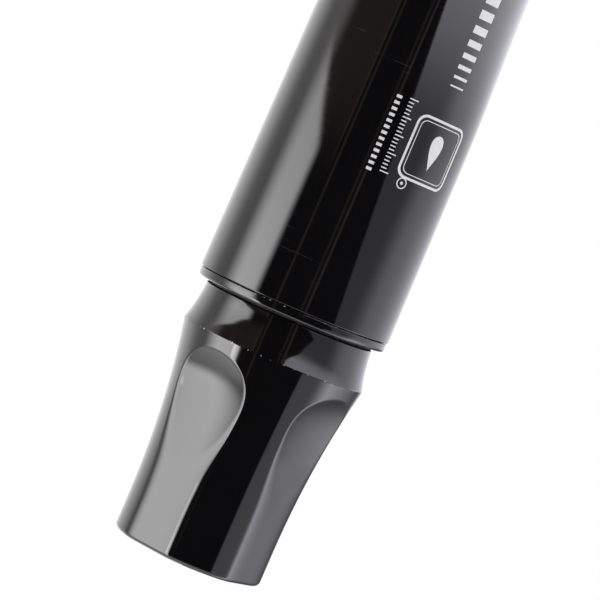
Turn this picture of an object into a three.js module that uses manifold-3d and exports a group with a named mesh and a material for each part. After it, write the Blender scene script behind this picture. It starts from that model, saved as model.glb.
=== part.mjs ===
// A double-ended art marker, standing on the flat end of its chisel cap. Millimetres, +Z up.
// The origin is the centre of that flat end. A fibre reservoir in the barrel feeds a fine nib at
// the top and a chisel nib at the bottom, and each nib has its own pull-off cap.
import * as THREE from "three";
import { mergeVertices } from "three/addons/utils/BufferGeometryUtils.js";
import Module from "manifold-3d";

const wasm = await Module();
wasm.setup();

// ---------------------------------------------------------------- driving dimensions
const FINE_CAP_LENGTH = 23.1;
const CHISEL_CAP_LENGTH = 34.1;
const BARREL_LENGTH = 88.0;
const FLANGE = 0.9; // thickness of the section flange that shows as a ring at each barrel end
const SHADOW_GAP = 0.25; // between a flange and the mouth of its cap
const STEP = 0.2; // height of the step on a flange that backs the shadow gap
const STEP_INSET = 0.1; // of the step from the outside of the cap's mouth
const STEP_EDGE = 0.05; // edge break on the step
const SEAT = 0.1; // clearance between pieces that are pressed together
const SNAP = 0.15; // radial clearance of the pieces that slide in each other

const MOUTH = FLANGE + SHADOW_GAP; // from a barrel end to the mouth of its cap
const BARREL_BOTTOM = CHISEL_CAP_LENGTH + MOUTH;
const BARREL_TOP = BARREL_BOTTOM + BARREL_LENGTH;

const BARREL_R_TOP = 9.0;
const BARREL_R_BOTTOM = 8.38;
const BARREL_SLOPE_TOP = 0.01; // radius lost per millimetre just below the wide end
const BARREL_WALL = 1.15;
const EDGE = 0.15; // small edge break on moulded corners
const PLUG_DEPTH = 10.0; // how far a section's plug reaches into the barrel
const RIBS = 6;
const RIB_WIDTH = 0.8;
const RIB_R = 6.42; // inner radius of the ribs that centre the reservoir

const RESERVOIR_R = 6.1;
const RESERVOIR_GAP = 2.5; // from a barrel end to the reservoir's end
const NIB_DEPTH = 9.5; // how far each nib reaches into the reservoir
const FILM = 0.2;
const VENT_R = 0.4;
const VENT_CENTRE_R = 6.8;
const PLUG_BORE_R = 6.5;
const WEB = 1.5; // thickness of a section's web below the flange

const FINE_NECK_R = 7.9;
const FINE_RIM_R = 8.56;
const RIM_AT = 3.65; // from the cap's mouth to its sharp rim
const FINE_END_R = 6.92;
const FINE_TAPER_RUN = 17.0; // from the rim to where the hollow taper turns straight
const FINE_TAPER_POWER = 2.2;
const SCALLOPS = 4;
const SCALLOP_HOLLOW_R = 18.0; // radius of a scallop's hollow across the cap
const SCALLOP_PLUNGE_POWER = 3.2;
// Distances from the axis, and from the rim along the cap: see scallopFloor.
const FINE_SCALLOP = { apex: 1.2, surface: 8.29, bowl: 7.3, deepest: 6.34, tail: 6.6, tailAt: 12.5 };

const CHISEL_NECK_R = 7.5;
const CHISEL_RIM_R = 8.28;
const CHISEL_BODY_R = 8.2;
const CHISEL_SCALLOP = { apex: 1.2, surface: 8.2, bowl: 7.3, deepest: 7.1, tail: 9.6, tailAt: 17.0 };
const END_PLUG_R = 6.2;
const END_PLUG_DEPTH = 1.4;

const OUTER_SEGMENTS = 48;
const INNER_SEGMENTS = 32;
const SMALL_SEGMENTS = 16;

// ---------------------------------------------------------------- materials
const material = (color, roughness, metalness = 0) =>
  new THREE.MeshStandardMaterial({ color, roughness, metalness });
const glossBlack = material(0x08080a, 0.12);
const satinBlack = material(0x101012, 0.45);
const linerWhite = material(0xd8d8d2, 0.5);
const inkedFibre = material(0x0d0c0f, 0.9);
const clearFilm = material(0xb9c4cc, 0.25);

// ---------------------------------------------------------------- helpers
const V = (r, z) => new THREE.Vector2(r, z);

// A solid of revolution about Z from a profile of (radius, height) points.
function turned(profile, segments = OUTER_SEGMENTS) {
  return new THREE.LatheGeometry(profile, segments).rotateX(Math.PI / 2);
}

// Points on an arc about (r, z), from angle a to angle b, in degrees.
function arc(r, z, radius, a, b, steps) {
  const points = [];
  for (let i = 0; i <= steps; i++) {
    const t = THREE.MathUtils.degToRad(a + ((b - a) * i) / steps);
    points.push(V(r + radius * Math.cos(t), z + radius * Math.sin(t)));
  }
  return points;
}

function toSolid(geometry) {
  const bare = geometry.clone();
  bare.deleteAttribute("normal");
  bare.deleteAttribute("uv");
  const merged = mergeVertices(bare, 1e-4);
  return new wasm.Manifold(
    new wasm.Mesh({
      numProp: 3,
      vertProperties: merged.attributes.position.array,
      triVerts: new Uint32Array(merged.index.array),
    }),
  );
}

function toGeometry(solid) {
  const made = solid.getMesh();
  const geometry = new THREE.BufferGeometry();
  const positions = new Float32Array(made.vertProperties);
  geometry.setAttribute("position", new THREE.BufferAttribute(positions, 3));
  geometry.setIndex(new THREE.BufferAttribute(new Uint32Array(made.triVerts), 1));
  geometry.computeVertexNormals();
  return geometry;
}

const boxAt = (x, y, z, cx, cy, cz) => new THREE.BoxGeometry(x, y, z).translate(cx, cy, cz);

// A plain round bar along Z, from one height to another.
function bar(radius, from, to, segments = SMALL_SEGMENTS) {
  return turned([V(0, from), V(radius, from), V(radius, to), V(0, to)], segments);
}

function named(name, geometry, finish) {
  const mesh = new THREE.Mesh(geometry, finish);
  mesh.name = name;
  return mesh;
}

// ---------------------------------------------------------------- barrel
// Outer radius at a distance below the wide end: it narrows, a little less with every millimetre.
function barrelRadius(below) {
  const lost = BARREL_R_TOP - BARREL_R_BOTTOM;
  const easing = (BARREL_SLOPE_TOP * BARREL_LENGTH - lost) / BARREL_LENGTH ** 2;
  return BARREL_R_TOP - BARREL_SLOPE_TOP * below + easing * below ** 2;
}

function barrel() {
  const boreTop = BARREL_R_TOP - BARREL_WALL;
  const boreBottom = BARREL_R_BOTTOM - BARREL_WALL;
  const steps = 8;
  const outside = [V(barrelRadius(BARREL_LENGTH) - EDGE, 0)];
  for (let i = 0; i <= steps; i++) {
    const height = EDGE + ((BARREL_LENGTH - 2 * EDGE) * i) / steps;
    outside.push(V(barrelRadius(BARREL_LENGTH - height), height));
  }
  outside.push(V(BARREL_R_TOP - EDGE, BARREL_LENGTH));
  const inside = [
    V(boreTop, BARREL_LENGTH),
    V(boreTop, BARREL_LENGTH - PLUG_DEPTH - 1),
    V(boreBottom, PLUG_DEPTH + 1),
    V(boreBottom, 0),
  ];
  let solid = toSolid(turned([...outside, ...inside, outside[0].clone()]));
  const ribFoot = PLUG_DEPTH + 2;
  const ribLength = BARREL_LENGTH - 2 * ribFoot;
  const ribDepth = boreTop + BARREL_WALL / 2 - RIB_R;
  for (let i = 0; i < RIBS; i++) {
    const rib = boxAt(ribDepth, RIB_WIDTH, ribLength, RIB_R + ribDepth / 2, 0, ribFoot + ribLength / 2);
    solid = solid.add(toSolid(rib.rotateZ((2 * Math.PI * i) / RIBS)));
  }
  // Ribs reach into the wall, so whatever would stand out of the narrow end is trimmed to the outside.
  const envelope = turned([V(0, 0), ...outside, V(0, BARREL_LENGTH)]);
  return toGeometry(solid.intersect(toSolid(envelope)));
}

// ---------------------------------------------------------------- reservoir
function reservoir() {
  const from = RESERVOIR_GAP;
  const to = BARREL_LENGTH - RESERVOIR_GAP;
  const core = toSolid(
    turned(
      [
        V(0, from),
        V(RESERVOIR_R - EDGE, from),
        V(RESERVOIR_R, from + EDGE),
        V(RESERVOIR_R, to - EDGE),
        V(RESERVOIR_R - EDGE, to),
        V(0, to),
      ],
      INNER_SEGMENTS,
    ),
  );
  const fineHole = bar(FINE_NIB_R + SEAT, to - NIB_DEPTH - SEAT, to + 1);
  const slotHeight = NIB_DEPTH + SEAT + 1;
  const chiselHole = boxAt(
    CHISEL_NIB_WIDTH + 2 * SEAT,
    CHISEL_NIB_THICK + 2 * SEAT,
    slotHeight,
    0,
    0,
    from + NIB_DEPTH + SEAT - slotHeight / 2,
  );
  return toGeometry(core.subtract(toSolid(fineHole)).subtract(toSolid(chiselHole)));
}

function reservoirFilm() {
  const inner = RESERVOIR_R + SEAT;
  const outer = inner + FILM;
  const from = RESERVOIR_GAP + 0.5;
  const to = BARREL_LENGTH - from;
  return turned(
    [V(inner, from), V(outer, from), V(outer, to), V(inner, to), V(inner, from)],
    INNER_SEGMENTS,
  );
}

// A thin straw beside the reservoir that lets air pass from one section to the other.
function ventTube() {
  const from = PLUG_DEPTH + 1.5;
  const to = BARREL_LENGTH - from;
  const bore = VENT_R / 2;
  const straw = turned(
    [V(bore, from), V(VENT_R, from), V(VENT_R, to), V(bore, to), V(bore, from)],
    SMALL_SEGMENTS / 2,
  );
  const between = Math.PI / RIBS;
  return straw.translate(VENT_CENTRE_R * Math.cos(between), VENT_CENTRE_R * Math.sin(between), 0);
}

// ---------------------------------------------------------------- fine end, +Z away from the barrel
const FINE_COLLAR_R = 6.4;
const FINE_COLLAR_TO = 5.9;
const FINE_NOSE_R = 4.5;
const FINE_NOSE_TO = 13.8;
const FINE_HOLDER_R = 1.7;
const FINE_NIB_R = 1.1;
const FINE_HOLDER_TO = 15.4;
const FINE_NIB_TO = 17.2;
const LINER_FROM = 7.0;
const FINE_LINER_R = 5.6;
const FINE_LINER_TO = 22.6;
const VENT_HOLE_R = 0.45;

// The collar of a section: two raised beads that the cap's mouth snaps over.
function collar(radius, to) {
  const bead = 0.06;
  const points = [];
  for (const at of [to * 0.45, to * 0.7]) {
    points.push(V(radius - bead, at - 0.5), V(radius, at - 0.2), V(radius, at + 0.2), V(radius - bead, at + 0.5));
  }
  return [V(radius - bead, FLANGE + STEP), ...points, V(radius - bead, to - 0.3), V(radius - 0.36, to)];
}

// The plug of a section, from its bore on the axis side up to the flange and the step on it.
function plug(bore, radius, flangeRadius, neckRadius) {
  return [
    V(bore, -WEB),
    V(PLUG_BORE_R, -WEB),
    V(PLUG_BORE_R, -PLUG_DEPTH),
    V(radius - 0.3, -PLUG_DEPTH),
    V(radius, -PLUG_DEPTH + 0.6),
    V(radius, SEAT),
    V(flangeRadius - EDGE, SEAT),
    V(flangeRadius, SEAT + EDGE),
    V(flangeRadius, FLANGE - EDGE),
    V(flangeRadius - EDGE, FLANGE),
    V(neckRadius - STEP_INSET, FLANGE),
    V(neckRadius - STEP_INSET, FLANGE + STEP - STEP_EDGE),
    V(neckRadius - STEP_INSET - STEP_EDGE, FLANGE + STEP),
  ];
}

function fineSection() {
  const bore = FINE_HOLDER_R + SEAT;
  const rear = FINE_NIB_R + SEAT;
  const step = 10.0; // the wide bore for the nib holder starts here
  const profile = [
    ...plug(rear, BARREL_R_TOP - BARREL_WALL - SEAT, BARREL_R_TOP - 0.11, FINE_NECK_R),
    ...collar(FINE_COLLAR_R, FINE_COLLAR_TO),
    V(FINE_NOSE_R, FINE_COLLAR_TO),
    V(FINE_NOSE_R, 9.2),
    ...arc(3.4, 9.4, 0.9, 60, 10, 3),
    V(3.6, 10.6),
    V(2.5, FINE_NOSE_TO - 0.2),
    V(2.3, FINE_NOSE_TO),
    V(bore, FINE_NOSE_TO),
    V(bore, step),
    V(rear, step),
    V(rear, -WEB),
  ];
  const vent = bar(VENT_HOLE_R, -WEB - 1, 12, 16).translate(3.2, 0, 0);
  return toGeometry(toSolid(turned(profile, OUTER_SEGMENTS)).subtract(toSolid(vent)));
}

function fineNibHolder() {
  const bore = FINE_NIB_R + SEAT;
  return turned(
    [
      V(bore, 10.1),
      V(FINE_HOLDER_R, 10.1),
      V(FINE_HOLDER_R, FINE_NOSE_TO + 0.1),
      V(FINE_HOLDER_R + 0.3, FINE_NOSE_TO + 0.1),
      V(FINE_HOLDER_R + 0.3, FINE_NOSE_TO + 0.5),
      V(1.45, FINE_HOLDER_TO),
      V(bore, FINE_HOLDER_TO),
      V(bore, 10.1),
    ],
    SMALL_SEGMENTS,
  );
}

function fineNib() {
  const tip = 0.45;
  return turned(
    [
      V(0, -RESERVOIR_GAP - NIB_DEPTH),
      V(FINE_NIB_R - 0.2, -RESERVOIR_GAP - NIB_DEPTH),
      V(FINE_NIB_R, -RESERVOIR_GAP - NIB_DEPTH + 0.4),
      V(FINE_NIB_R, FINE_HOLDER_TO + 0.4),
      V(0.8, FINE_NIB_TO - 0.6),
      ...arc(0, FINE_NIB_TO - tip, tip, 20, 90, 4),
    ],
    SMALL_SEGMENTS,
  );
}

// The floor of a scallop: its distance from the marker's axis along the cap, measured from the rim.
// It plunges from the apex into a bowl and eases out into the tail.
function scallopFloor({ apex, surface, bowl, deepest, tail, tailAt }, length) {
  const plungeSteps = 8;
  const tailSteps = 4;
  const floor = [];
  for (let i = 0; i < plungeSteps; i++) {
    const z = (bowl * i) / plungeSteps;
    const left = (bowl - z) / (bowl - apex);
    floor.push(V(deepest + (surface - deepest) * left ** SCALLOP_PLUNGE_POWER, z));
  }
  for (let i = 0; i <= tailSteps; i++) {
    const z = bowl + ((tailAt - bowl) * i) / tailSteps;
    floor.push(V(deepest + (tail - deepest) * THREE.MathUtils.smoothstep(z, bowl, tailAt), z));
  }
  if (tailAt < length) floor.push(V(tail, length));
  return floor;
}

// Cuts the scallops evenly round a cap. Each cutter is turned about an axis beside the marker.
function scalloped(solid, shape, rimAt, length) {
  const away = shape.deepest + SCALLOP_HOLLOW_R;
  const floor = scallopFloor(shape, length).map((p) => V(away - p.x, rimAt + p.y));
  const cutter = turned([V(0, floor[0].y), ...floor, V(0, floor[floor.length - 1].y)]);
  const quarter = (2 * Math.PI) / SCALLOPS;
  for (let i = 0; i < SCALLOPS; i++) {
    const placed = cutter.clone().translate(away, 0, 0).rotateZ((i + 0.5) * quarter);
    solid = solid.subtract(toSolid(placed));
  }
  return solid;
}

function fineCap() {
  const rimAt = MOUTH + RIM_AT;
  const end = MOUTH + FINE_CAP_LENGTH;
  const round = 0.45;
  const taper = [];
  const taperSteps = 7;
  for (let i = 1; i <= taperSteps; i++) {
    const left = 1 - i / taperSteps;
    const radius = FINE_END_R + (FINE_RIM_R - FINE_END_R) * left ** FINE_TAPER_POWER;
    taper.push(V(radius, rimAt + FINE_TAPER_RUN * (1 - left)));
  }
  const boreMouth = FINE_COLLAR_R + SNAP;
  const bore = FINE_LINER_R + SEAT;
  const profile = [
    V(boreMouth + EDGE, MOUTH),
    V(FINE_NECK_R - EDGE, MOUTH),
    V(FINE_NECK_R, MOUTH + EDGE),
    V(FINE_NECK_R + 0.17, MOUTH + 1.5),
    V(FINE_NECK_R + 0.37, MOUTH + 2.6),
    V(FINE_RIM_R, rimAt),
    ...taper,
    V(FINE_END_R, end - round),
    ...arc(FINE_END_R - round, end - round, round, 25, 90, 3),
    V(0, end),
    V(0, end - 1.55),
    V(bore, end - 1.55),
    V(bore, LINER_FROM - 0.4),
    V(boreMouth, LINER_FROM - 0.7),
    V(boreMouth, MOUTH + EDGE),
    V(boreMouth + EDGE, MOUTH),
  ];
  const length = end - rimAt + 1;
  return toGeometry(scalloped(toSolid(turned(profile)), FINE_SCALLOP, rimAt, length));
}

function liner(outer, land, from, to, bottom) {
  const wall = 0.75;
  return turned(
    [
      V(land + 0.3, from),
      V(outer - 0.2, from),
      V(outer, from + 0.3),
      V(outer, to - 0.4),
      V(outer - 0.4, to),
      V(0, to),
      V(0, to - bottom),
      V(outer - wall - 0.4, to - bottom),
      V(outer - wall, to - bottom - 0.4),
      V(outer - wall, from + 2.6),
      V(land, from + 2.2),
      V(land, from + 0.5),
      V(land + 0.3, from),
    ],
    INNER_SEGMENTS,
  );
}

// ---------------------------------------------------------------- chisel end, +Z away from the barrel
const CHISEL_COLLAR_R = 6.4;
const CHISEL_COLLAR_TO = 8.0;
const CHISEL_NOSE_R = 5.3;
const CHISEL_NOSE_TO = 19.0;
const CHISEL_NIB_WIDTH = 7.0;
const CHISEL_NIB_THICK = 4.0;
const CHISEL_NIB_TO = 26.4;
const CHISEL_LINER_R = 6.3;
const CHISEL_LINER_FROM = 8.6;
const CHISEL_LINER_TO = 32.0;

function chiselSection() {
  const profile = [
    ...plug(0, BARREL_R_BOTTOM - BARREL_WALL - SEAT, BARREL_R_BOTTOM - 0.1, CHISEL_NECK_R),
    ...collar(CHISEL_COLLAR_R, CHISEL_COLLAR_TO),
    V(CHISEL_NOSE_R, CHISEL_COLLAR_TO),
    V(CHISEL_NOSE_R, 13.5),
    V(5.0, CHISEL_NOSE_TO - 0.3),
    V(4.7, CHISEL_NOSE_TO),
    V(0, CHISEL_NOSE_TO),
  ];
  const slot = boxAt(
    CHISEL_NIB_WIDTH + 2 * SEAT,
    CHISEL_NIB_THICK + 2 * SEAT,
    CHISEL_NOSE_TO + WEB + 2,
    0,
    0,
    (CHISEL_NOSE_TO - WEB) / 2,
  );
  let solid = toSolid(turned(profile)).subtract(toSolid(slot));
  // Two sloping flats bring the nose down to the thin side of the nib.
  const lean = THREE.MathUtils.degToRad(16);
  for (const side of [-1, 1]) {
    const flat = boxAt(14, 6, 16, 0, side * 3, 8).rotateX(side * lean).translate(0, side * 5.2, 11.5);
    solid = solid.subtract(toSolid(flat));
    const vent = bar(VENT_HOLE_R, -WEB - 1, 13, 16).translate(0, side * 3.4, 0);
    solid = solid.subtract(toSolid(vent));
  }
  return toGeometry(solid);
}

function chiselNib() {
  const half = CHISEL_NIB_THICK / 2;
  const shoulder = 20.6; // where the wedge starts
  const tip = 0.6;
  const side = new THREE.Shape([
    V(-half, -RESERVOIR_GAP - NIB_DEPTH),
    V(half, -RESERVOIR_GAP - NIB_DEPTH),
    V(half, shoulder),
    V(tip, CHISEL_NIB_TO),
    V(-tip, CHISEL_NIB_TO),
    V(-half, shoulder),
  ]);
  const slab = new THREE.ExtrudeGeometry(side, { depth: CHISEL_NIB_WIDTH, bevelEnabled: false })
    .translate(0, 0, -CHISEL_NIB_WIDTH / 2)
    .rotateY(Math.PI / 2)
    .rotateX(Math.PI / 2);
  // The writing edge runs obliquely across the width.
  const slant = THREE.MathUtils.degToRad(32);
  const cut = boxAt(24, 10, 10, 0, 0, 5).rotateY(slant).translate(0, 0, CHISEL_NIB_TO - 2.2);
  return toGeometry(toSolid(slab).subtract(toSolid(cut)));
}

function chiselCap() {
  const rimAt = MOUTH + RIM_AT;
  const end = MOUTH + CHISEL_CAP_LENGTH;
  const boreMouth = CHISEL_COLLAR_R + SNAP;
  const bore = CHISEL_LINER_R + SEAT;
  const round = 0.5;
  const pocket = END_PLUG_R + SEAT;
  const pocketFloor = end - END_PLUG_DEPTH - 0.25;
  const profile = [
    V(boreMouth + EDGE, MOUTH),
    V(CHISEL_NECK_R - EDGE, MOUTH),
    V(CHISEL_NECK_R, MOUTH + EDGE),
    V(CHISEL_NECK_R + 0.2, MOUTH + 1.5),
    V(CHISEL_NECK_R + 0.44, MOUTH + 2.6),
    V(CHISEL_RIM_R, rimAt),
    V(CHISEL_BODY_R, rimAt + 0.4),
    V(CHISEL_BODY_R, end - round),
    ...arc(CHISEL_BODY_R - round, end - round, round, 25, 90, 3),
    V(pocket + EDGE, end),
    V(pocket, end - EDGE),
    V(pocket, pocketFloor),
    V(0, pocketFloor),
    V(0, CHISEL_LINER_TO + 0.1),
    V(bore, CHISEL_LINER_TO + 0.1),
    V(bore, CHISEL_LINER_FROM - 0.3),
    V(boreMouth, CHISEL_LINER_FROM - 0.5),
    V(boreMouth, MOUTH + EDGE),
    V(boreMouth + EDGE, MOUTH),
  ];
  return toGeometry(scalloped(toSolid(turned(profile)), CHISEL_SCALLOP, rimAt, CHISEL_SCALLOP.tailAt));
}

function chiselCapEndPlug() {
  const end = MOUTH + CHISEL_CAP_LENGTH;
  const foot = end - END_PLUG_DEPTH;
  return turned(
    [V(0, foot), V(END_PLUG_R, foot), V(END_PLUG_R, end - 0.2), V(END_PLUG_R - 0.2, end), V(0, end)],
    INNER_SEGMENTS,
  );
}

// ---------------------------------------------------------------- assembly
const marker = new THREE.Group();

const middle = new THREE.Group();
middle.position.z = BARREL_BOTTOM;
middle.add(
  named("barrel", barrel(), glossBlack),
  named("ink_reservoir", reservoir(), inkedFibre),
  named("reservoir_film", reservoirFilm(), clearFilm),
  named("vent_tube", ventTube(), linerWhite),
);

const fineEnd = new THREE.Group();
fineEnd.position.z = BARREL_TOP;
fineEnd.add(
  named("fine_section", fineSection(), glossBlack),
  named("fine_nib_holder", fineNibHolder(), satinBlack),
  named("fine_nib", fineNib(), inkedFibre),
  named("fine_cap", fineCap(), glossBlack),
  named("fine_cap_liner", liner(FINE_LINER_R, FINE_NOSE_R + SNAP, LINER_FROM, FINE_LINER_TO, 1.0), linerWhite),
);

const chiselEnd = new THREE.Group();
chiselEnd.position.z = BARREL_BOTTOM;
chiselEnd.rotation.x = Math.PI;
chiselEnd.add(
  named("chisel_section", chiselSection(), glossBlack),
  named("chisel_nib", chiselNib(), inkedFibre),
  named("chisel_cap", chiselCap(), glossBlack),
  named(
    "chisel_cap_liner",
    liner(CHISEL_LINER_R, CHISEL_NOSE_R + SNAP, CHISEL_LINER_FROM, CHISEL_LINER_TO, 1.2),
    linerWhite,
  ),
  named("chisel_cap_end_plug", chiselCapEndPlug(), satinBlack),
);

marker.add(middle, fineEnd, chiselEnd);
export default marker;
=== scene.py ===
import math

import bmesh
import bpy
from mathutils import Matrix, Vector


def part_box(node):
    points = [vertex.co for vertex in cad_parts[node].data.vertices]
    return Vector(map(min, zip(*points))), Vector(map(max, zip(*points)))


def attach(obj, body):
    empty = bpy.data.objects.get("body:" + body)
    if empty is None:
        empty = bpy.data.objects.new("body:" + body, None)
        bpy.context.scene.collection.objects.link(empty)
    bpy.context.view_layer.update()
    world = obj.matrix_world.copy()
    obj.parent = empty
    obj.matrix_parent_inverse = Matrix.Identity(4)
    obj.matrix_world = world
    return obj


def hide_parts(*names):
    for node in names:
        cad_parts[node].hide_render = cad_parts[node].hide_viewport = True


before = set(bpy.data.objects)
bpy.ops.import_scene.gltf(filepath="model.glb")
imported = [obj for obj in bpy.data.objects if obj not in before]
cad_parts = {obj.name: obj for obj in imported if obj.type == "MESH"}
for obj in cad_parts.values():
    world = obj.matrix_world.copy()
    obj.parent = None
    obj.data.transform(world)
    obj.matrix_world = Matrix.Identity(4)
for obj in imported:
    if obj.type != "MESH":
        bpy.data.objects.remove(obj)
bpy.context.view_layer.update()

MM = 0.001

# ---------------------------------------------------------------- places, from the frame
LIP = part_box("barrel")[1][2]  # the barrel's wide end, where the fine section starts
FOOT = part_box("barrel")[0][2]  # its narrow end, where the chisel section starts
BARREL_LENGTH = LIP - FOOT
FINE_CAP_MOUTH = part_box("fine_cap")[0][2]
FINE_CAP_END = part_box("fine_cap")[1][2]
CHISEL_CAP_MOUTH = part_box("chisel_cap")[1][2]
CHISEL_CAP_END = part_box("chisel_cap")[0][2]
LIP_R = 9.0 * MM
FOOT_R = 8.38 * MM
SLOPE_AT_LIP = 0.01
FLANGE = 0.9 * MM
STEP = 0.2  # mm, the step on a flange that backs the gap below its cap's mouth
FINE_NIB_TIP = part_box("fine_nib")[1][2]
FINE_NIB_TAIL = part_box("fine_nib")[0][2]

FINE_RIM_R = 8.56 * MM
FINE_END_R = 6.92 * MM
RIM_AT = 3.65 * MM  # from a cap's mouth to its sharp rim
FINE_RIM = FINE_CAP_MOUTH + RIM_AT
CHISEL_RIM = CHISEL_CAP_MOUTH - RIM_AT
CHISEL_RIM_R = 8.28 * MM
CHISEL_BODY_R = 8.2 * MM
SCALLOPS = 4
SCALLOP_HOLLOW_R = 18.0 * MM
AROUND = 192  # points round a turned piece
CAP_AROUND = 480  # points round a scalloped cap
ROOM = 2.2  # brightness of the white room that the gloss and the floor see

# ---------------------------------------------------------------- camera side
VIEW_ANGLE = math.radians(282.5)  # where the camera stands, round +Z from +X
TOWARDS = Vector((math.cos(VIEW_ANGLE), math.sin(VIEW_ANGLE), 0.0))
UP = Vector((0.0, 0.0, 1.0))
RIGHT = TOWARDS.cross(UP)  # the side of the marker that is at the image's right


def camera():
    distance = 263 * MM
    lens = 180.0
    foot = 13.7 * MM  # the camera is level with this point below the lip
    aim = 0.42 * MM  # and looks at this one
    roll = math.radians(23.3)  # the marker's fine end points down and to the left
    data = bpy.data.cameras.new("camera")
    data.lens = lens
    data.sensor_width = 36.0
    data.clip_start = 0.01
    data.clip_end = 20.0
    place = TOWARDS * distance + UP * (LIP - foot)
    target = RIGHT * 0.31 * MM + UP * (LIP - aim)
    back = (place - target).normalized()
    axis = (UP - UP.dot(back) * back).normalized()
    side = back.cross(axis) * -1.0
    image_x = -math.sin(roll) * axis - math.cos(roll) * side
    image_y = back.cross(image_x)
    turn = Matrix((image_x, image_y, back)).transposed()
    eye = bpy.data.objects.new("camera", data)
    eye.matrix_world = Matrix.Translation(place) @ turn.to_4x4()
    bpy.context.collection.objects.link(eye)
    bpy.context.scene.camera = eye


# ---------------------------------------------------------------- node helpers
class Nodes:
    """Short calls for the nodes of one material or world."""

    def __init__(self, tree):
        self.tree = tree
        tree.nodes.clear()

    def add(self, kind, **settings):
        node = self.tree.nodes.new(kind)
        for name, value in settings.items():
            setattr(node, name, value)
        return node

    def feed(self, socket, value):
        if isinstance(value, bpy.types.NodeSocket):
            self.tree.links.new(value, socket)
        else:
            socket.default_value = value

    def math(self, operation, a, b=0.0, c=0.0):
        node = self.add("ShaderNodeMath", operation=operation)
        for socket, value in zip(node.inputs, (a, b, c)):
            self.feed(socket, value)
        return node.outputs[0]

    def times(self, first, *others):
        for other in others:
            first = self.math("MULTIPLY", first, other)
        return first

    def plus(self, first, *others):
        for other in others:
            first = self.math("ADD", first, other)
        return first

    def away(self, value, place):
        """How far a value is from a place, on either side."""
        return self.math("ABSOLUTE", self.math("SUBTRACT", value, place))

    def dot(self, vector, constant):
        node = self.add("ShaderNodeVectorMath", operation="DOT_PRODUCT")
        self.feed(node.inputs[0], vector)
        node.inputs[1].default_value = constant
        return node.outputs["Value"]

    def ramp(self, value, low, high, to_low=0.0, to_high=1.0, kind="SMOOTHSTEP"):
        node = self.add("ShaderNodeMapRange", interpolation_type=kind)
        for socket, given in zip(node.inputs, (value, low, high, to_low, to_high)):
            self.feed(socket, given)
        return node.outputs["Result"]

    def noise(self, vector, scale, detail=3.0, roughness=0.55):
        node = self.add("ShaderNodeTexNoise")
        self.feed(node.inputs["Vector"], vector)
        node.inputs["Scale"].default_value = scale
        node.inputs["Detail"].default_value = detail
        node.inputs["Roughness"].default_value = roughness
        return node.outputs["Fac"]

    def stretched(self, vector, scale):
        node = self.add("ShaderNodeMapping")
        self.feed(node.inputs["Vector"], vector)
        node.inputs["Scale"].default_value = scale
        return node.outputs["Vector"]

    def mix(self, factor, a, b):
        node = self.add("ShaderNodeMix", data_type="RGBA")
        self.feed(node.inputs["Factor"], factor)
        self.feed(node.inputs[6], a)
        self.feed(node.inputs[7], b)
        return node.outputs[2]

    def bump(self, height, distance, strength=1.0, below=None):
        node = self.add("ShaderNodeBump")
        node.inputs["Strength"].default_value = strength
        node.inputs["Distance"].default_value = distance
        self.feed(node.inputs["Height"], height)
        if below is not None:
            self.feed(node.inputs["Normal"], below)
        return node.outputs["Normal"]


# ---------------------------------------------------------------- light
def emitted(n, color, level):
    """An emission shader whose strength is a worked-out level."""
    shader = n.add("ShaderNodeEmission")
    shader.inputs["Color"].default_value = color
    n.feed(shader.inputs["Strength"], level)
    return shader.outputs[0]


def studio():
    """A white room: pure white where the camera sees it, brighter as a light."""
    world = bpy.data.worlds.new("studio")
    world.use_nodes = True
    bpy.context.scene.world = world
    n = Nodes(world.node_tree)
    seen = n.add("ShaderNodeLightPath").outputs["Is Camera Ray"]
    background = n.add("ShaderNodeBackground")
    n.feed(background.inputs["Color"], (1.0, 1.0, 1.0, 1.0))
    n.feed(background.inputs["Strength"], n.ramp(seen, 0.0, 1.0, ROOM, 1.0, "LINEAR"))
    n.feed(n.add("ShaderNodeOutputWorld").inputs["Surface"], background.outputs[0])
    bpy.context.scene.view_settings.view_transform = "Standard"
    bpy.context.scene.view_settings.look = "None"


# The tent's light depends on the azimuth, in degrees from the camera's side towards RIGHT, and on
# the height, in mm above the marker's foot.
def softbox_side(n, azimuth, height):
    """The left: a softbox whose inner edge leans away from the front low down, and what is beside it."""
    lean = n.ramp(height, 91.0, 108.5, -101.0, -44.0, "LINEAR")
    inside = n.ramp(n.math("SUBTRACT", azimuth, lean), -5.0, 5.0, 1.0, 0.0)
    outside = n.ramp(azimuth, -92.0, -66.0)
    strength = n.ramp(height, 92.0, 134.0, 4.0, 8.1, "LINEAR")
    middle = n.ramp(n.away(azimuth, -62.0), 5.0, 45.0, 1.05, 0.55)
    softbox = n.times(inside, outside, strength, middle)
    wash = n.times(n.ramp(azimuth, -84.0, -66.0, 1.0, 0.0), 1.1)
    wall = n.times(n.ramp(azimuth, -125.0, -100.0, 1.0, 0.0), 0.9)
    strip = n.times(n.ramp(azimuth, -49.0, -46.0), n.ramp(azimuth, -42.0, -37.0, 1.0, 0.0))
    strip = n.times(strip, n.ramp(height, 150.0, 162.0), 9.0)
    return n.plus(softbox, wash, wall, strip)


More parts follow.
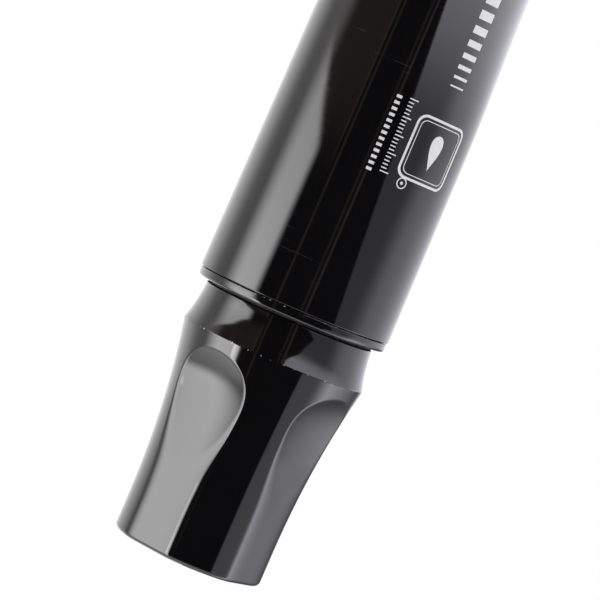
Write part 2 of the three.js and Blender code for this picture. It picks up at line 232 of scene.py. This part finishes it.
def card_side(n, azimuth, height):
    """The right: a dim card whose edge leans towards the front low down. Beside the fine cap it comes
    further round, and its far side falls off."""
    upper = n.ramp(height, 130.0, 148.0)
    lower = n.math("SUBTRACT", 1.0, upper)
    lean = n.ramp(height, 80.0, 130.0, 17.0, 51.0, "LINEAR")
    edge = n.math("SUBTRACT", lean, n.times(upper, 9.0))
    level = n.plus(0.62, n.times(upper, 0.5))
    far_loss = n.times(upper, n.ramp(azimuth, 95.0, 150.0, 0.0, 0.8))
    card = n.times(n.ramp(n.math("SUBTRACT", azimuth, edge), -1.0, 1.0), level)
    card = n.times(card, n.math("SUBTRACT", 1.0, far_loss))
    near = n.times(n.ramp(azimuth, 62.0, 90.0), 1.25, lower)
    falling = n.math("POWER", n.ramp(azimuth, 84.0, 150.0, 1.0, 0.0, "LINEAR"), 2.8)
    far = n.times(n.ramp(azimuth, 62.0, 90.0), falling, 4.4, upper)
    low_fill = n.times(card, n.ramp(height, 82.0, 104.0, 4.5, 0.0))
    return n.plus(card, near, far, low_fill)


def dark_front(n, azimuth, height):
    """Faint shapes in the dark front: a body at the left and four upright edges."""
    body = n.times(n.ramp(azimuth, -100.0, -90.0), n.ramp(azimuth, -25.0, -24.0, 1.0, 0.0))
    front = n.times(body, n.ramp(height, 96.0, 114.0, 1.0, 0.0), 0.22)
    uprights = ((-24.0, 0.30, 112.0), (9.0, 0.22, 135.0), (14.0, 0.42, 135.0), (-19.0, 0.30, 400.0))
    for place, level, top in uprights:
        upright = n.ramp(n.away(azimuth, place), 0.4, 1.6, 1.0, 0.0)
        front = n.plus(front, n.times(upright, n.ramp(height, top - 8.0, top, 1.0, 0.0), level))
    return front


def tent():
    """What the gloss reflects: a round tent with a softbox at the left, a dimmer card at the right
    and a dark front. Only reflections see it."""
    radius = 100 * MM
    low, high = -200 * MM, 420 * MM
    sides = 96
    rows = [ring(radius, low, sides), ring(radius, high, sides)]
    mesh = from_rows("light_tent", rows, False)
    cloth = bpy.data.objects.new("light_tent", mesh)
    for rays in ("visible_camera", "visible_diffuse", "visible_shadow", "visible_transmission"):
        setattr(cloth, rays, False)
    bpy.context.collection.objects.link(cloth)

    glow = bpy.data.materials.new("light_tent")
    glow.use_nodes = True
    mesh.materials.append(glow)
    n = Nodes(glow.node_tree)
    where = n.add("ShaderNodeTexCoord").outputs["Object"]
    azimuth = n.math("DEGREES", n.math("ARCTAN2", n.dot(where, RIGHT), n.dot(where, TOWARDS)))
    height = n.dot(where, UP / MM)

    # High up, the softbox and the front give way to an even white.
    top_white = 2.2
    above = n.times(n.ramp(height, 190.0, 240.0), n.ramp(azimuth, 30.0, 60.0, 1.0, 0.0))
    below = n.math("SUBTRACT", 1.0, above)
    left = n.plus(n.times(softbox_side(n, azimuth, height), below), n.times(above, top_white))
    right = n.times(card_side(n, azimuth, height), below)
    front = n.times(dark_front(n, azimuth, height), below)

    sides_light = n.add("ShaderNodeAddShader")
    n.feed(sides_light.inputs[0], emitted(n, (0.99, 0.99, 1.0, 1.0), left))
    n.feed(sides_light.inputs[1], emitted(n, (0.92, 0.915, 1.0, 1.0), right))
    light = n.add("ShaderNodeAddShader")
    n.feed(light.inputs[0], sides_light.outputs[0])
    n.feed(light.inputs[1], emitted(n, (1.0, 0.72, 0.62, 1.0), front))
    n.feed(n.add("ShaderNodeOutputMaterial").inputs["Surface"], light.outputs[0])


def floor():
    radius = 0.9
    below = 0.02 * MM  # under the marker's foot, so that the two faces don't coincide
    bm = bmesh.new()
    bmesh.ops.create_circle(bm, cap_ends=True, segments=128, radius=radius)
    mesh = bpy.data.meshes.new("floor")
    bm.to_mesh(mesh)
    bm.free()
    ground = bpy.data.objects.new("floor", mesh)
    ground.location.z = -below
    ground.visible_glossy = False
    bpy.context.collection.objects.link(ground)
    finish = bpy.data.materials.new("floor_paint")
    finish.use_nodes = True
    n = Nodes(finish.node_tree)
    grain = n.noise(n.add("ShaderNodeTexCoord").outputs["Object"], 400.0)
    shader = n.add("ShaderNodeBsdfPrincipled")
    n.feed(shader.inputs["Base Color"], n.mix(grain, (0.60, 0.60, 0.60, 1), (0.66, 0.66, 0.655, 1)))
    shader.inputs["Roughness"].default_value = 0.8
    n.feed(n.add("ShaderNodeOutputMaterial").inputs["Surface"], shader.outputs[0])
    mesh.materials.append(finish)


# ---------------------------------------------------------------- materials
def plastic(name, color, roughness, streaks, streak_height, edges=(), scratched=0.0, dull=()):
    """Moulded plastic with faint polishing marks, a little dust, a slight orange peel and tiny nicks
    along its sharp edges, at the heights in "edges". "scratched" is how pale its few scratches are,
    and it is unpolished at the heights in "dull"."""
    finish = bpy.data.materials.new(name)
    finish.use_nodes = True
    n = Nodes(finish.node_tree)
    where = n.add("ShaderNodeTexCoord").outputs["Object"]
    height = n.dot(where, UP / MM)
    cloud = n.noise(where, 160.0)
    fine = n.noise(n.stretched(where, streaks), 1.0, 4.0, 0.6)
    wave = n.noise(where, 220.0, 1.0)
    dust = n.add("ShaderNodeTexVoronoi")
    n.feed(dust.inputs["Vector"], where)
    dust.inputs["Scale"].default_value = 900.0
    rare = n.ramp(n.noise(where, 260.0, 1.0), 0.66, 0.72)
    speck = n.times(n.ramp(dust.outputs["Distance"], 0.03, 0.08, 0.6, 0.0), rare)
    scratch = n.ramp(n.noise(n.stretched(where, (150.0, 150.0, 9000.0)), 1.0, 2.0, 0.5), 0.69, 0.73)
    scratch = n.times(scratch, n.ramp(n.noise(where, 120.0, 1.0), 0.52, 0.64, 0.0, scratched))
    chipped = n.ramp(n.noise(where, 3200.0, 2.0, 0.8), 0.60, 0.68)
    for edge in edges:
        off = n.away(height, edge / MM)
        nick = n.times(n.ramp(off, 0.03, 0.09, 1.0, 0.0), chipped)
        speck = n.math("MAXIMUM", speck, nick)
    speck = n.math("MAXIMUM", speck, scratch)
    dark = tuple(c * 0.8 for c in color) + (1.0,)
    light = tuple(c * 1.2 for c in color) + (1.0,)
    shader = n.add("ShaderNodeBsdfPrincipled")
    n.feed(shader.inputs["Base Color"], n.mix(speck, n.mix(cloud, dark, light), (0.30, 0.30, 0.31, 1)))
    smear = n.ramp(fine, 0.35, 0.75, roughness * 0.8, roughness * 1.5, "LINEAR")
    rough = n.plus(smear, n.times(speck, 0.3))
    for band in dull:
        rough = n.math("MAXIMUM", rough, n.ramp(n.away(height, band / MM), 0.105, 0.125, 0.9, 0.0))
    n.feed(shader.inputs["Roughness"], rough)
    shader.inputs["IOR"].default_value = 1.5
    swell = n.bump(wave, 0.004 * MM)
    n.feed(shader.inputs["Normal"], n.bump(fine, streak_height, 1.0, swell))
    n.feed(n.add("ShaderNodeOutputMaterial").inputs["Surface"], shader.outputs[0])
    return finish


def fibre(name, color, along):
    """Pressed or bundled fibre, its strands running along the marker."""
    finish = bpy.data.materials.new(name)
    finish.use_nodes = True
    n = Nodes(finish.node_tree)
    where = n.add("ShaderNodeTexCoord").outputs["Object"]
    strand = n.noise(n.stretched(where, (5000.0, 5000.0, along)), 1.0, 4.0, 0.7)
    dark = tuple(c * 0.5 for c in color) + (1.0,)
    light = tuple(min(1.0, c * 1.7) for c in color) + (1.0,)
    shader = n.add("ShaderNodeBsdfPrincipled")
    n.feed(shader.inputs["Base Color"], n.mix(strand, dark, light))
    shader.inputs["Roughness"].default_value = 0.85
    n.feed(shader.inputs["Normal"], n.bump(strand, 0.05 * MM))
    n.feed(n.add("ShaderNodeOutputMaterial").inputs["Surface"], shader.outputs[0])
    return finish


def ink_print():
    """Pale grey pad print: slightly uneven cover, satin."""
    finish = bpy.data.materials.new("print_white")
    finish.use_nodes = True
    n = Nodes(finish.node_tree)
    where = n.add("ShaderNodeTexCoord").outputs["Object"]
    cover = n.noise(where, 2600.0, 4.0, 0.7)
    shader = n.add("ShaderNodeBsdfPrincipled")
    n.feed(shader.inputs["Base Color"], n.mix(cover, (0.27, 0.27, 0.28, 1), (0.40, 0.40, 0.41, 1)))
    n.feed(shader.inputs["Roughness"], n.ramp(cover, 0.3, 0.7, 0.35, 0.55, "LINEAR"))
    n.feed(n.add("ShaderNodeOutputMaterial").inputs["Surface"], shader.outputs[0])
    return finish


LENGTHWISE = (1500.0, 1500.0, 30.0)
ROUNDWISE = (60.0, 60.0, 6000.0)
BLACK = (0.0020, 0.0018, 0.0021)
BARREL_BLACK = plastic("barrel_black", BLACK, 0.055, ROUNDWISE, 0.0004 * MM, scratched=0.08)
CAP_BLACK = plastic("cap_black", BLACK, 0.065, LENGTHWISE, 0.0006 * MM, (FINE_RIM, CHISEL_RIM))
FLANGE_EDGES = (LIP + 0.1 * MM, FOOT - 0.1 * MM)
GAPS = (LIP + FLANGE + 0.1 * MM, FOOT - FLANGE - 0.1 * MM)  # the steps behind the shadow gaps
SECTION_BLACK = plastic("section_black", BLACK, 0.09, ROUNDWISE, 0.0006 * MM, FLANGE_EDGES, dull=GAPS)
SATIN = plastic("satin_dark", (0.030, 0.030, 0.033), 0.38, ROUNDWISE, 0.002 * MM)
LINER = plastic("liner_white", (0.72, 0.72, 0.68), 0.42, ROUNDWISE, 0.002 * MM)
FILM = plastic("film_clear", (0.45, 0.50, 0.55), 0.20, LENGTHWISE, 0.002 * MM)
PRINT = ink_print()
NIB = fibre("nib_fibre", (0.020, 0.019, 0.022), 160.0)
RESERVOIR = fibre("reservoir_fibre", (0.030, 0.027, 0.033), 40.0)


# ---------------------------------------------------------------- mesh helpers
def finished(name, mesh, body, material, nodes=()):
    """Links a mesh as a piece, rides it on its body and lets it stand for its CAD nodes."""
    for face in mesh.polygons:
        face.use_smooth = True
    mesh.materials.append(material)
    piece = bpy.data.objects.new(name, mesh)
    bpy.context.collection.objects.link(piece)
    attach(piece, body)
    if nodes:
        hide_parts(*nodes)
    return piece


def from_rows(name, rows, closed):
    """A closed skin over rows of points. A row of one point is a pole on the axis."""
    bm = bmesh.new()
    made = [[bm.verts.new(p) for p in row] for row in rows]
    pairs = list(zip(made, made[1:]))
    if closed:
        pairs.append((made[-1], made[0]))
    for low, high in pairs:
        count = max(len(low), len(high))
        for i in range(count):
            j = (i + 1) % count
            corners = [low[i % len(low)], low[j % len(low)], high[j % len(high)], high[i % len(high)]]
            bm.faces.new(list(dict.fromkeys(corners)))
    bmesh.ops.recalc_face_normals(bm, faces=bm.faces)
    mesh = bpy.data.meshes.new(name)
    bm.to_mesh(mesh)
    bm.free()
    return mesh


def rounded(points, closed=False, steps=4):
    """Rounds a profile's corners. A point is (radius, height) or (radius, height, fillet)."""
    count = len(points)
    made = []
    for i, point in enumerate(points):
        here = Vector(point[:2])
        fillet = point[2] if len(point) > 2 else 0.0
        if fillet == 0.0 or (not closed and i in (0, count - 1)):
            made.append(here)
            continue
        before = Vector(points[i - 1][:2])
        after = Vector(points[(i + 1) % count][:2])
        start = here + (before - here).normalized() * fillet
        end = here + (after - here).normalized() * fillet
        for k in range(steps + 1):
            t = k / steps
            made.append(start * (1 - t) ** 2 + here * 2 * t * (1 - t) + end * t ** 2)
    return made


def ring(radius, height, count=AROUND):
    if radius < 1e-7:
        return [Vector((0.0, 0.0, height))]
    turn = 2 * math.pi / count
    return [Vector((radius * math.cos(i * turn), radius * math.sin(i * turn), height)) for i in range(count)]


def turned(name, profile, closed=False, count=AROUND):
    """A mesh of revolution about the marker's axis."""
    return from_rows(name, [ring(p.x, p.y, count) for p in profile], closed)


def held(piece):
    """Keeps long faces flat in shade where they meet small fillets."""
    weighted = piece.modifiers.new("weighted_normal", "WEIGHTED_NORMAL")
    weighted.weight = 100
    return piece


def along(origin, direction, points):
    """Profile points in mm from a barrel end, put in place."""
    return [(p[0] * MM, origin + direction * p[1] * MM) + tuple(f * MM for f in p[2:]) for p in points]


# ---------------------------------------------------------------- barrel
def barrel_radius(below):
    """Outer radius at a distance below the lip: it narrows, a little less with every millimetre."""
    easing = (SLOPE_AT_LIP * BARREL_LENGTH - (LIP_R - FOOT_R)) / BARREL_LENGTH ** 2
    return LIP_R - SLOPE_AT_LIP * below + easing * below ** 2


def barrel():
    wall = 1.15 * MM
    edge = 0.08 * MM
    straight = 11.0 * MM  # length of the plain bore that takes a section's plug
    steps = 24
    profile = [(FOOT_R - wall, FOOT, 0.1 * MM), (FOOT_R, FOOT, edge)]
    for i in range(1, steps):
        height = BARREL_LENGTH * i / steps
        profile.append((barrel_radius(BARREL_LENGTH - height), FOOT + height))
    profile.append((LIP_R - 0.0003 * MM, LIP, edge))
    profile.append((LIP_R - wall, LIP, 0.1 * MM))
    profile.append((LIP_R - wall, LIP - straight))
    profile.append((FOOT_R - wall, FOOT + straight))
    mesh = turned("barrel_skin", rounded(profile, closed=True, steps=6), closed=True)
    return held(finished("barrel_skin", mesh, "pen", BARREL_BLACK, ["barrel"]))


# ---------------------------------------------------------------- sections and nibs
def collar(radius, top):
    """Two raised beads that a cap's mouth snaps over."""
    bead = 0.06
    points = [(radius - bead, FLANGE / MM + STEP, 0.05)]
    for at in (top * 0.45, top * 0.7):
        points += [(radius - bead, at - 0.5, 0.1), (radius, at - 0.2, 0.15)]
        points += [(radius, at + 0.2, 0.15), (radius - bead, at + 0.5, 0.1)]
    return points + [(radius - bead, top - 0.3, 0.1), (radius - 0.36, top, 0.1)]


def plug(bore, radius, flange, neck):
    """The part of a section that sits in the barrel, and the flange over the barrel's end."""
    return [
        (bore, -1.5, 0.1),
        (6.5, -1.5),
        (6.5, -10.0, 0.1),
        (radius - 0.3, -10.0, 0.1),
        (radius, -9.4, 0.1),
        (radius, 0.1),
        (flange, 0.1, 0.07),
        (flange, FLANGE / MM, 0.3),
        (neck - 0.1, FLANGE / MM, 0.04),
        (neck - 0.1, FLANGE / MM + STEP, 0.04),
    ]


def fine_section():
    points = plug(1.2, 7.75, 8.89, 7.9) + collar(6.4, 5.9)
    points += [
        (4.5, 5.9, 0.25),
        (4.5, 9.4, 0.5),
        (3.7, 10.1, 0.3),
        (2.5, 13.6, 0.2),
        (2.2, 13.8, 0.1),
        (1.8, 13.8, 0.05),
        (1.8, 10.0),
        (1.2, 10.0),
    ]
    mesh = turned("fine_section_skin", rounded(along(LIP, 1, points), True), True)
    return held(finished("fine_section_skin", mesh, "pen", SECTION_BLACK, ["fine_section"]))


def fine_nib_holder():
    points = [
        (1.2, 10.1, 0.05),
        (1.7, 10.1, 0.05),
        (1.7, 13.9),
        (2.0, 13.9, 0.05),
        (2.0, 14.3, 0.1),
        (1.45, 15.4, 0.1),
        (1.2, 15.4, 0.05),
    ]
    mesh = turned("fine_nib_sleeve", rounded(along(LIP, 1, points), True), True, 96)
    return held(finished("fine_nib_sleeve", mesh, "pen", SATIN, ["fine_nib_holder"]))


def fine_nib():
    radius = 1.1 * MM
    points = [
        (0.0, FINE_NIB_TAIL),
        (radius, FINE_NIB_TAIL, 0.3 * MM),
        (radius, FINE_NIB_TIP - 1.4 * MM, 0.4 * MM),
        (0.55 * MM, FINE_NIB_TIP, 0.5 * MM),
        (0.0, FINE_NIB_TIP),
    ]
    mesh = turned("fine_nib_felt", rounded(points, steps=6), count=96)
    return held(finished("fine_nib_felt", mesh, "pen", NIB, ["fine_nib"]))


# ---------------------------------------------------------------- caps
def eased(x, low, high):
    """0 below low, 1 above high, smooth between."""
    t = min(max((x - low) / (high - low), 0.0), 1.0)
    return t * t * (3 - 2 * t)


def scallop_floor(apex, surface, bowl, deepest, tail, tail_at):
    """Distance of a scallop's floor from the axis, at a distance from the rim; both in mm.
    It plunges from the apex into a bowl and eases out into the tail."""
    def floor_at(z):
        z = z / MM
        if z < bowl:
            return (deepest + (surface - deepest) * ((bowl - z) / (bowl - apex)) ** 3.2) * MM
        return (deepest + (tail - deepest) * eased(z, bowl, tail_at)) * MM
    return floor_at


def soft_min(a, b, blend):
    """The smaller of two lengths, rounded off where they are within "blend" of each other."""
    gap = max(blend - abs(a - b), 0.0) / blend
    return min(a, b) - gap * gap * blend * 0.25


def scalloped(base, floor_at, hollow_centre, blend_at):
    """Radius of a cap at (angle, distance from rim) with its scallops cut in."""
    quarter = 2 * math.pi / SCALLOPS

    def radius(angle, z):
        outer = base(z)
        off = (angle % quarter) - quarter / 2
        reach = hollow_centre - floor_at(z)
        inner = reach ** 2 - (hollow_centre * math.sin(off)) ** 2
        if inner <= 0:
            return outer
        cut = hollow_centre * math.cos(off) - math.sqrt(inner)
        return soft_min(outer, cut, blend_at(z))
    return radius


def rings(points, origin, away):
    """Rows of plain rings from (radius, distance, fillet) points in mm, counted from a height."""
    return [ring(p.x, p.y, CAP_AROUND) for p in rounded(along(origin, away, points))]


def outside(rim, away, length, radius):
    """Rows of a cap's scalloped side, from its rim over the rounded edge at its end."""
    fillet = 0.45 * MM
    steps = 170
    edge_steps = 8
    straight = length - fillet
    stations = [(straight * (i / steps) ** 1.15, 0.0, 0.0) for i in range(steps)]
    for i in range(edge_steps + 1):
        t = math.pi / 2 * i / edge_steps
        stations.append((straight, fillet * (1 - math.cos(t)), fillet * math.sin(t)))
    turn = 2 * math.pi / CAP_AROUND
    rows = []
    for place, inset, beyond in stations:
        height = rim + away * (place + beyond)
        reach = [radius(i * turn, place) - inset for i in range(CAP_AROUND)]
        rows.append([Vector((r * math.cos(i * turn), r * math.sin(i * turn), height))
                     for i, r in enumerate(reach)])
    return rows


def cap(name, body, node, mouth, end, radius, inside, neck, cover):
    """A cap: its inside from the axis to the mouth, its neck, its side and what closes its end."""
    away = 1 if end > mouth else -1
    rim = mouth + away * RIM_AT
    rows = rings(inside + neck, mouth, away)
    rows += outside(rim, away, abs(end - rim), radius)
    rows += rings(cover, end, -away)
    mesh = from_rows(name, rows, False)
    return finished(name, mesh, body, CAP_BLACK, [node])


def fine_cap():
    run = 17.0 * MM

    def base(z):
        left = max(1 - z / run, 0.0)
        return FINE_END_R + (FINE_RIM_R - FINE_END_R) * left ** 2.2

    def blend_at(z):
        return (0.10 + 0.45 * eased(z, 4 * MM, 12 * MM)) * MM

    floor_at = scallop_floor(apex=1.2, surface=8.29, bowl=7.3, deepest=6.34, tail=6.6, tail_at=12.5)
    radius = scalloped(base, floor_at, 6.34 * MM + SCALLOP_HOLLOW_R, blend_at)
    floor_height = (FINE_CAP_END - FINE_CAP_MOUTH) / MM - 1.55
    inside = [(0.0, floor_height), (5.7, floor_height, 0.3), (5.7, 5.5, 0.1), (6.55, 5.2, 0.1), (6.55, 0.15)]
    neck = [(6.7, 0.0, 0.1), (7.9, 0.0, 0.12), (8.03, 1.3, 0.6), (8.27, 2.65, 0.5), (8.55, 3.62, 0.05)]
    cover = [(3.0, 0.0), (0.6, 0.0, 0.1), (0.5, 0.06, 0.04), (0.0, 0.06)]
    return cap("fine_cap_skin", "fine_cap", "fine_cap", FINE_CAP_MOUTH, FINE_CAP_END, radius,
               inside, neck, cover)


def chisel_cap():
    def base(z):
        return CHISEL_BODY_R + (CHISEL_RIM_R - CHISEL_BODY_R) * (1 - eased(z, 0.0, 0.9 * MM))

    def blend_at(z):
        return 0.16 * MM

    floor_at = scallop_floor(apex=1.2, surface=8.2, bowl=7.3, deepest=7.1, tail=9.6, tail_at=17.0)
    radius = scalloped(base, floor_at, 7.1 * MM + SCALLOP_HOLLOW_R, blend_at)
    floor_height = (CHISEL_CAP_MOUTH - CHISEL_CAP_END) / MM - 3.15
    inside = [(0.0, floor_height), (6.4, floor_height, 0.3), (6.4, 7.2, 0.1), (6.55, 7.0, 0.1), (6.55, 0.15)]
    neck = [(6.7, 0.0, 0.1), (7.5, 0.0, 0.12), (7.68, 1.3, 0.6), (7.96, 2.65, 0.5), (8.27, 3.62, 0.05)]
    cover = [(6.45, 0.0), (6.3, 0.0, 0.12), (6.3, 1.65, 0.1), (0.0, 1.65)]
    return cap("chisel_cap_skin", "chisel_cap", "chisel_cap", CHISEL_CAP_MOUTH, CHISEL_CAP_END, radius,
               inside, neck, cover)


def chisel_cap_end_plug():
    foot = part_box("chisel_cap_end_plug")[0][2]
    points = [(0.0, 1.4), (6.2, 1.4, 0.1), (6.2, 0.0, 0.2), (2.2, 0.0, 0.1), (2.0, 0.12, 0.1), (0.0, 0.12)]
    mesh = turned("end_plug_disc", rounded(along(foot, 1, points)))
    piece = finished("end_plug_disc", mesh, "chisel_cap", SATIN, ["chisel_cap_end_plug"])
    return held(piece)


# ---------------------------------------------------------------- chisel end
def block(name, size, turn, place):
    """A box turned about X and put in place: only ever cut with, never shown."""
    bm = bmesh.new()
    bmesh.ops.create_cube(bm, size=1.0)
    bmesh.ops.scale(bm, vec=size, verts=bm.verts)
    bmesh.ops.rotate(bm, matrix=Matrix.Rotation(turn, 3, "X"), verts=bm.verts)
    bmesh.ops.translate(bm, vec=place, verts=bm.verts)
    mesh = bpy.data.meshes.new(name)
    bm.to_mesh(mesh)
    bm.free()
    return mesh


def carved(name, mesh, cutters):
    """A mesh with others cut out of it, its hard edges kept hard."""
    whole = bpy.data.objects.new(name + "_uncut", mesh)
    bpy.context.collection.objects.link(whole)
    helpers = []
    for cutter in cutters:
        helper = bpy.data.objects.new(cutter.name, cutter)
        bpy.context.collection.objects.link(helper)
        helpers.append(helper)
        cut = whole.modifiers.new("cut", "BOOLEAN")
        cut.object = helper
        cut.solver = "EXACT"
    bpy.context.view_layer.update()
    result = bpy.data.meshes.new_from_object(whole.evaluated_get(bpy.context.evaluated_depsgraph_get()))
    result.name = name
    for helper in helpers + [whole]:
        bpy.data.objects.remove(helper)
    bm = bmesh.new()
    bm.from_mesh(result)
    for edge in bm.edges:
        edge.smooth = len(edge.link_faces) != 2 or edge.calc_face_angle() < math.radians(32)
    bm.to_mesh(result)
    bm.free()
    return result


def chisel_section():
    points = plug(0.0, 7.13, 8.28, 7.5) + collar(6.4, 8.0)
    points += [(5.3, 8.0, 0.25), (5.3, 13.5, 1.0), (5.0, 18.7, 0.1), (4.8, 19.0, 0.1), (0.0, 19.0)]
    whole = turned("chisel_section_skin", rounded(along(FOOT, -1, points)), count=144)
    cutters = [block("slot", (7.2 * MM, 4.2 * MM, 22.5 * MM), 0.0, (0.0, 0.0, FOOT - 8.75 * MM))]
    lean = math.radians(16)
    for side in (-1, 1):
        middle = Vector((0.0, side * 3.0, 8.0)) * MM
        middle.rotate(Matrix.Rotation(side * lean, 3, "X"))
        middle += Vector((0.0, side * 5.2, 11.5)) * MM
        place = (0.0, middle.y, FOOT - middle.z)
        cutters.append(block("flat", (14 * MM, 6 * MM, 16 * MM), -side * lean, place))
    mesh = carved("chisel_section_skin", whole, cutters)
    return finished("chisel_section_skin", mesh, "pen", SECTION_BLACK, ["chisel_section"])


def chisel_nib():
    low, high = (Vector(corner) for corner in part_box("chisel_nib"))
    shoulder = FOOT - 20.6 * MM
    tip_half = 0.6 * MM
    slant = math.tan(math.radians(32)) * (high.x - low.x)
    bm = bmesh.new()
    levels = [(high.z, high.z, high.y), (shoulder, shoulder, high.y), (low.z + slant, low.z, tip_half)]
    rows = []
    for left_z, right_z, half in levels:
        wide = half + (high.y - half) * (left_z - low.z) / (shoulder - low.z) if left_z != right_z else half
        corners = [(low.x, -wide, left_z), (high.x, -half, right_z)]
        corners += [(high.x, half, right_z), (low.x, wide, left_z)]
        rows.append([bm.verts.new(c) for c in corners])
    for upper, lower in zip(rows, rows[1:]):
        for i in range(4):
            j = (i + 1) % 4
            bm.faces.new((upper[i], upper[j], lower[j], lower[i]))
    bm.faces.new(rows[0])
    bm.faces.new(reversed(rows[-1]))
    bmesh.ops.recalc_face_normals(bm, faces=bm.faces)
    bmesh.ops.bevel(bm, geom=bm.edges, offset=0.18 * MM, segments=3, profile=0.5, affect="EDGES")
    mesh = bpy.data.meshes.new("chisel_nib_felt")
    bm.to_mesh(mesh)
    bm.free()
    return held(finished("chisel_nib_felt", mesh, "pen", NIB, ["chisel_nib"]))


# ---------------------------------------------------------------- print
def rectangle(across, below, width, height):
    """Outline of a bar: its place and size round the barrel and below the lip, in mm."""
    right, end = across + width, below + height
    return [(across, below), (right, below), (right, end), (across, end)]


def rounded_square(across, below, half, corner, steps=6):
    outline = []
    for k, (sx, sy) in enumerate(((1, 1), (-1, 1), (-1, -1), (1, -1))):
        for i in range(steps + 1):
            t = math.pi / 2 * (k + i / steps)
            x = sx * (half - corner) + corner * math.cos(t)
            y = sy * (half - corner) + corner * math.sin(t)
            outline.append((across + x, below + y))
    return outline


def drop(across, below, size, steps=32):
    """A drop of ink, its point towards the barrel's far end."""
    outline = []
    for i in range(steps):
        t = 2 * math.pi * i / steps
        pinch = math.sin(t / 2) ** 1.6
        outline.append((across + size * 0.62 * math.sin(t) * pinch, below - size * math.cos(t)))
    return outline


def circle(across, below, radius, steps=32):
    turn = 2 * math.pi / steps
    return [(across + radius * math.cos(i * turn), below + radius * math.sin(i * turn)) for i in range(steps)]


def printed(shapes, frames):
    """The print as one thin raised skin on the barrel. Shapes are filled outlines; frames are pairs of
    outlines with the space between them filled."""
    bm = bmesh.new()
    for outline in shapes:
        bm.faces.new([bm.verts.new((x, y, 0.0)) for x, y in outline])
    for outer, inner in frames:
        loops = [[bm.verts.new((x, y, 0.0)) for x, y in outline] for outline in (outer, inner)]
        count = len(outer)
        for i in range(count):
            j = (i + 1) % count
            bm.faces.new((loops[0][i], loops[0][j], loops[1][j], loops[1][i]))
    slice_width = 0.25  # mm: the print is cut into slices this wide so that it can bend round the barrel
    slices = 64
    for k in range(1, slices):
        geometry = bm.verts[:] + bm.edges[:] + bm.faces[:]
        bmesh.ops.bisect_plane(bm, geom=geometry, plane_co=(k * slice_width, 0, 0), plane_no=(1, 0, 0))
    thick = bmesh.ops.extrude_face_region(bm, geom=bm.faces[:])
    raised = {v for v in thick["geom"] if isinstance(v, bmesh.types.BMVert)}
    top, sunk = 0.012 * MM, -0.004 * MM  # of the print, from the barrel's surface
    for vert in bm.verts:
        below = vert.co.y * MM
        radius = barrel_radius(below) + (top if vert in raised else sunk)
        angle = VIEW_ANGLE - vert.co.x * MM / LIP_R
        vert.co = Vector((radius * math.cos(angle), radius * math.sin(angle), LIP - below))
    bmesh.ops.recalc_face_normals(bm, faces=bm.faces)
    mesh = bpy.data.meshes.new("barrel_print")
    bm.to_mesh(mesh)
    bm.free()
    for face in mesh.polygons:
        face.use_smooth = False
    piece = bpy.data.objects.new("barrel_print", mesh)
    mesh.materials.append(PRINT)
    bpy.context.collection.objects.link(piece)
    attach(piece, "pen")
    return piece


def print_layout():
    """A drop in a frame, two fine scales beside it, and a line-width gauge running up the barrel.
    Places are mm round the barrel from the camera's side and mm below the lip."""
    mark = (6.5, 16.7)
    half = 2.9
    frames = [(rounded_square(*mark, half, 0.9), rounded_square(*mark, half - 0.22, 0.72))]
    frames.append((rounded_square(*mark, half - 0.45, 0.6), rounded_square(*mark, half - 0.52, 0.55)))
    dot = (4.55, 13.35)
    frames.append((circle(*dot, 0.5), circle(*dot, 0.4)))
    shapes = [drop(mark[0], mark[1], 1.6), circle(*dot, 0.14)]
    ticks, tick_pitch, tick_width = 21, 0.33, 0.1
    for i in range(ticks):
        length = 0.82 if i % 5 == 0 else 0.5
        shapes.append(rectangle(2.2, 13.6 + i * tick_pitch, length, tick_width))
    blocks, block_pitch, block_width = 13, 0.55, 0.26
    for i in range(blocks):
        shapes.append(rectangle(1.0, 13.3 + i * block_pitch, 0.5, block_width))
    lines, thinnest, thicker_by, gap = 9, 0.14, 0.11, 0.62
    place = 22.6
    for i in range(lines):
        width = thinnest + thicker_by * i
        shapes.append(rectangle(5.2, place, 1.55, width))
        place += width + gap
    return printed(shapes, frames)


# ---------------------------------------------------------------- build
camera()
studio()
tent()
floor()
barrel()
print_layout()
fine_section()
fine_nib_holder()
fine_nib()
fine_cap()
chisel_section()
chisel_nib()
chisel_cap()
chisel_cap_end_plug()

LOOKS = {
    "ink_reservoir": RESERVOIR,
    "reservoir_film": FILM,
    "vent_tube": LINER,
    "fine_cap_liner": LINER,
    "chisel_cap_liner": LINER,
}
for node, look in LOOKS.items():
    for material_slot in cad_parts[node].material_slots:
        material_slot.material = look
